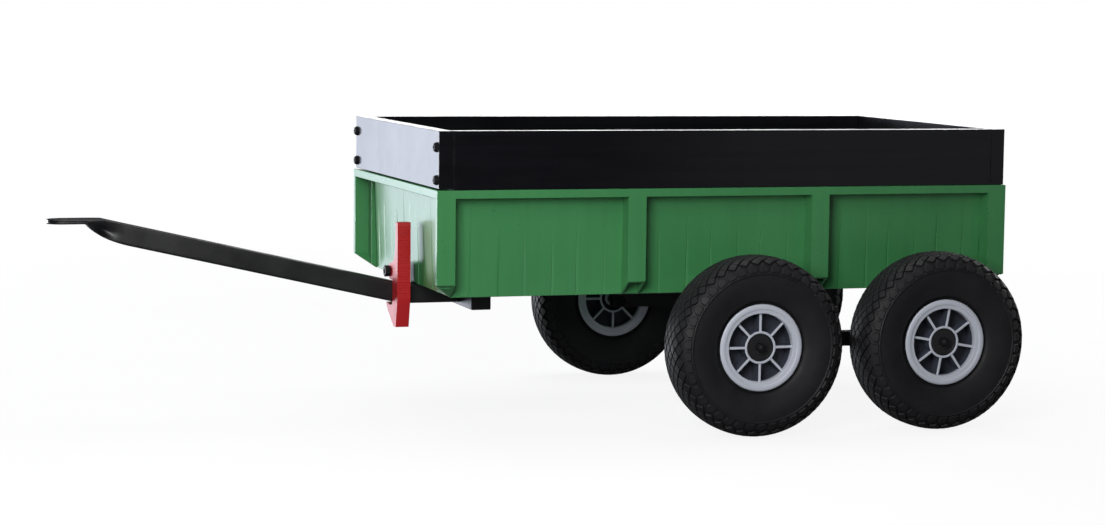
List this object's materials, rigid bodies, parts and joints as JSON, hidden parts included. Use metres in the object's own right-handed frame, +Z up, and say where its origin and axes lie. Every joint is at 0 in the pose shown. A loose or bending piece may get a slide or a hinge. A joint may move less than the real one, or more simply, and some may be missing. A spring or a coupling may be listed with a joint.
{
  "type": "toy trailer",
  "caption": "Tipping tandem-axle trailer for a ride-on pedal tractor: plastic tub with side boards, bent drawbar, latch lever and rocking bogies with pneumatic wheels.",
  "frame": {"origin": "on the ground, below the middle of the whole trailer's bounding box", "axes": "-X towards the hitch tongue, +X to the rear, Y across the trailer, +Z up; the trailer stands level on its four wheels"},
  "size_m": [1.389, 0.715, 0.434],
  "materials": {
    "tub_green": "moulded green plastic, satin, with plank lines",
    "board_black": "black film-faced board, semi-gloss",
    "black_steel": "black powder coat, semi-gloss",
    "latch_red": "moulded red plastic, satin",
    "black_fastener": "black coated fasteners",
    "zinc_steel": "zinc-plated steel",
    "tyre_rubber": "black moulded rubber with a block tread",
    "tube_rubber": "inner tube rubber",
    "rim_grey": "moulded grey plastic, satin",
    "hub_black": "black moulded plastic",
    "bush_nylon": "natural nylon"
  },
  "bodies": {
    "chassis": {"drawbar": "black_steel", "front_crossbar": "black_steel", "chassis_spine": "black_steel", "axle_carrier": "black_steel", "bogie_axle": "zinc_steel", "axle_cap_left": "black_fastener", "axle_cap_right": "black_fastener", "hinge_pin": "zinc_steel", "latch_bracket": "black_steel", "latch_bolt": "black_fastener"},
    "tub": {"tub": "tub_green", "front_board": "board_black", "rear_board": "board_black", "left_board": "board_black", "right_board": "board_black", "front_screw_left_lower": "black_fastener", "front_screw_left_upper": "black_fastener", "front_screw_right_lower": "black_fastener", "front_screw_right_upper": "black_fastener", "rear_screw_left_lower": "black_fastener", "rear_screw_left_upper": "black_fastener", "rear_screw_right_lower": "black_fastener", "rear_screw_right_upper": "black_fastener", "board_strap_left": "black_steel", "board_strap_right": "black_steel", "hinge_lug_left": "black_steel", "hinge_lug_right": "black_steel"},
    "latch": {"latch_lever": "latch_red"},
    "bogie_left": {"bogie_beam_left": "black_steel", "bogie_bush_left": "bush_nylon", "stub_axle_front_left": "black_fastener", "wheel_nut_front_left": "black_fastener", "stub_axle_rear_left": "black_fastener", "wheel_nut_rear_left": "black_fastener"},
    "wheel_front_left": {"tyre_front_left": "tyre_rubber", "inner_tube_front_left": "tube_rubber", "rim_front_left": "rim_grey", "hub_cap_front_left": "hub_black", "wheel_bush_front_left": "bush_nylon"},
    "wheel_rear_left": {"tyre_rear_left": "tyre_rubber", "inner_tube_rear_left": "tube_rubber", "rim_rear_left": "rim_grey", "hub_cap_rear_left": "hub_black", "wheel_bush_rear_left": "bush_nylon"},
    "bogie_right": {"bogie_beam_right": "black_steel", "bogie_bush_right": "bush_nylon", "stub_axle_front_right": "black_fastener", "wheel_nut_front_right": "black_fastener", "stub_axle_rear_right": "black_fastener", "wheel_nut_rear_right": "black_fastener"},
    "wheel_front_right": {"tyre_front_right": "tyre_rubber", "inner_tube_front_right": "tube_rubber", "rim_front_right": "rim_grey", "hub_cap_front_right": "hub_black", "wheel_bush_front_right": "bush_nylon"},
    "wheel_rear_right": {"tyre_rear_right": "tyre_rubber", "inner_tube_rear_right": "tube_rubber", "rim_rear_right": "rim_grey", "hub_cap_rear_right": "hub_black", "wheel_bush_rear_right": "bush_nylon"}
  },
  "joints": [
    {"name": "tub_tip", "type": "hinge", "parent": "chassis", "child": "tub", "pos_m": [0.4675, 0, 0.1864], "axis": [0, 1, 0], "range_deg": [0, 45]},
    {"name": "latch_swing", "type": "hinge", "parent": "chassis", "child": "latch", "pos_m": [-0.18, 0, 0.214], "axis": [1, 0, 0], "range_deg": [-45, 0]},
    {"name": "bogie_rock_left", "type": "hinge", "parent": "chassis", "child": "bogie_left", "pos_m": [0.409, -0.269, 0.13], "axis": [0, 1, 0], "range_deg": [-12, 12]},
    {"name": "wheel_spin_front_left", "type": "hinge", "parent": "bogie_left", "child": "wheel_front_left", "pos_m": [0.2655, -0.32, 0.13], "axis": [0, 1, 0], "continuous": true},
    {"name": "wheel_spin_rear_left", "type": "hinge", "parent": "bogie_left", "child": "wheel_rear_left", "pos_m": [0.5525, -0.32, 0.13], "axis": [0, 1, 0], "continuous": true},
    {"name": "bogie_rock_right", "type": "hinge", "parent": "chassis", "child": "bogie_right", "pos_m": [0.409, 0.269, 0.13], "axis": [0, 1, 0], "range_deg": [-12, 12]},
    {"name": "wheel_spin_front_right", "type": "hinge", "parent": "bogie_right", "child": "wheel_front_right", "pos_m": [0.2655, 0.32, 0.13], "axis": [0, 1, 0], "continuous": true},
    {"name": "wheel_spin_rear_right", "type": "hinge", "parent": "bogie_right", "child": "wheel_rear_right", "pos_m": [0.5525, 0.32, 0.13], "axis": [0, 1, 0], "continuous": true}
  ]
}
